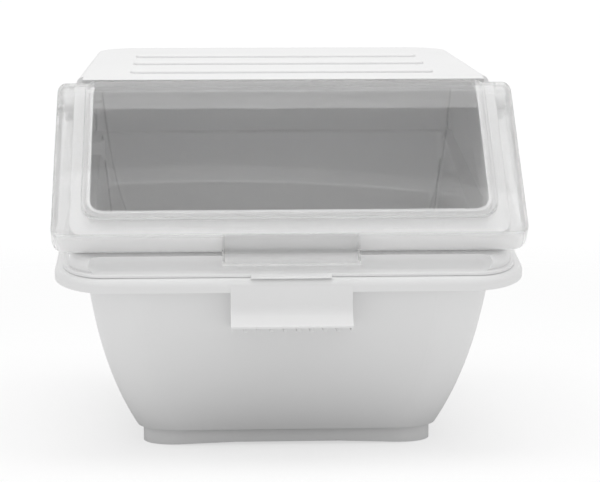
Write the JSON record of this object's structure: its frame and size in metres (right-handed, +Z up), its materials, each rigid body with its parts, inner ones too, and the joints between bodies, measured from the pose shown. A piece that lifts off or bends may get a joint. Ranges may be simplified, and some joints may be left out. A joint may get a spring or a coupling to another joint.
{
  "type": "pet food bin",
  "caption": "Tapered white shelf bin for dry pet food, with a ribbed hood lid and a clear sloping door that flips up on side pivots.",
  "frame": {"origin": "on the surface the bin stands on, under the centre of the bounding box", "axes": "+X to the right seen from the door side, -Y towards the door side, +Z up"},
  "size_m": [0.488, 0.597, 0.4283],
  "materials": {
    "tub_white": "fine grained polyethylene",
    "lid_white": "satin moulded plastic",
    "clear_door": "clear polycarbonate",
    "pin_white": "smooth moulded plastic",
    "hook_white": "smooth moulded plastic"
  },
  "bodies": {
    "tub": {"tub": "tub_white"},
    "lid": {"lid": "lid_white", "hinge_pin_left": "pin_white", "hinge_pin_right": "pin_white", "scoop_hook": "hook_white"},
    "door": {"door": "clear_door"}
  },
  "joints": [
    {"name": "lid_lift", "type": "slide", "parent": "tub", "child": "lid", "axis": [0, 0, 1], "range_m": [0, 0.15]},
    {"name": "door_flip", "type": "hinge", "parent": "lid", "child": "door", "pos_m": [0, -0.1331, 0.3591], "axis": [-1, 0, 0], "range_deg": [0, 112]}
  ]
}
